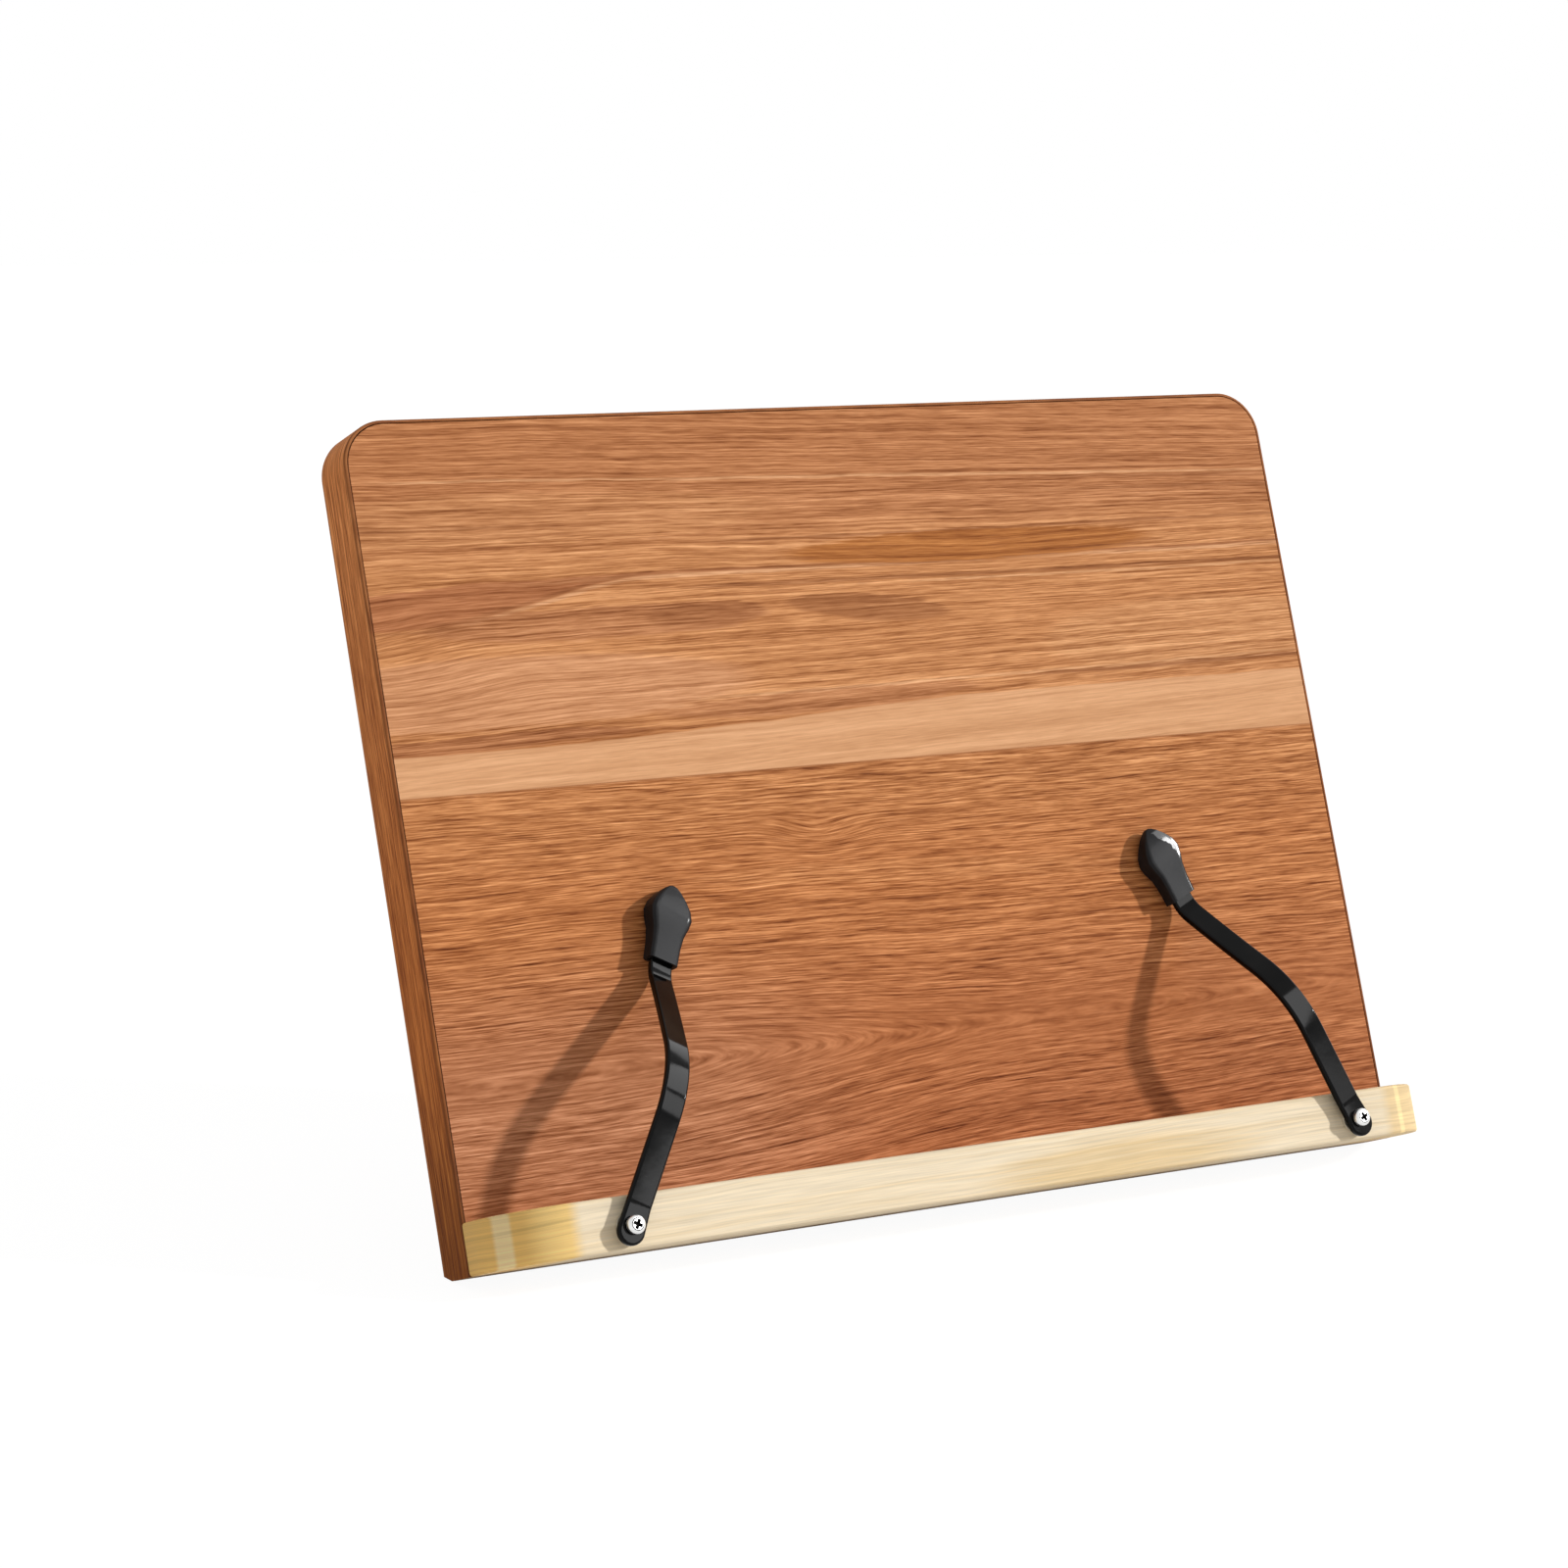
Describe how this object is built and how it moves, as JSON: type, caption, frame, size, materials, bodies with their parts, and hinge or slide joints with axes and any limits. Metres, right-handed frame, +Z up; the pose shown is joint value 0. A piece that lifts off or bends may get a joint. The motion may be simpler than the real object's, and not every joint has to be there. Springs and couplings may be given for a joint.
{
  "type": "book stand",
  "caption": "Tabletop book stand: leaning wood-grain board with a pale wooden ledge, swinging black page clips and a folding rear leg.",
  "frame": {"origin": "under the middle of the overall box, on the surface that the stand rests on", "axes": "+X runs across the board from the reader's left to the reader's right, +Y runs from the reader to the back, +Z is up"},
  "size_m": [0.28, 0.1468, 0.2041],
  "materials": {
    "wood_foil": "satin wood-grain facing on fibreboard",
    "edge_band": "satin wood-grain edge banding",
    "pine": "clear satin lacquer on pine",
    "black_steel": "gloss black paint",
    "black_rubber": "satin black moulding",
    "bright_steel": "bright zinc plating"
  },
  "bodies": {
    "stand": {"reading_board": "wood_foil", "edge_band": "edge_band", "ledge": "pine", "ledge_screw_left": "bright_steel", "ledge_screw_centre": "bright_steel", "ledge_screw_right": "bright_steel", "left_clip_washer": "bright_steel", "left_clip_screw": "bright_steel", "right_clip_washer": "bright_steel", "right_clip_screw": "bright_steel", "left_hinge_board_leaf": "bright_steel", "left_hinge_pin": "bright_steel", "left_hinge_board_screw_1": "bright_steel", "left_hinge_board_screw_2": "bright_steel", "right_hinge_board_leaf": "bright_steel", "right_hinge_pin": "bright_steel", "right_hinge_board_screw_1": "bright_steel", "right_hinge_board_screw_2": "bright_steel", "left_saddle": "bright_steel", "left_saddle_screw_lower": "bright_steel", "left_saddle_screw_upper": "bright_steel", "right_saddle": "bright_steel", "right_saddle_screw_lower": "bright_steel", "right_saddle_screw_upper": "bright_steel"},
    "leg": {"rear_leg": "wood_foil", "left_hinge_leg_leaf": "bright_steel", "left_hinge_leg_screw_1": "bright_steel", "left_hinge_leg_screw_2": "bright_steel", "right_hinge_leg_leaf": "bright_steel", "right_hinge_leg_screw_1": "bright_steel", "right_hinge_leg_screw_2": "bright_steel", "leg_pad_left": "black_rubber", "leg_pad_right": "black_rubber"},
    "stay": {"wire_stay": "black_steel"},
    "left_clip": {"left_clip_arm": "black_steel", "left_clip_tip": "black_rubber"},
    "right_clip": {"right_clip_arm": "black_steel", "right_clip_tip": "black_rubber"}
  },
  "joints": [
    {"name": "leg_fold", "type": "hinge", "parent": "stand", "child": "leg", "pos_m": [0, 0.01939, 0.13984], "axis": [1, 0, 0], "range_deg": [-36, 0]},
    {"name": "stay_fold", "type": "hinge", "parent": "stand", "child": "stay", "pos_m": [0, -0.017, 0.03603], "axis": [1, 0, 0], "range_deg": [0, 72]},
    {"name": "left_clip_swing", "type": "hinge", "parent": "stand", "child": "left_clip", "pos_m": [-0.1088, -0.06772, 0.01693], "axis": [0, -0.9461, 0.3239], "range_deg": [-42, 98]},
    {"name": "right_clip_swing", "type": "hinge", "parent": "stand", "child": "right_clip", "pos_m": [0.1088, -0.06772, 0.01693], "axis": [0, -0.9461, 0.3239], "range_deg": [-94, 45]}
  ],
  "couplings": [
    {"joint": "stay_fold", "follows": "leg_fold", "ratio": -2}
  ]
}
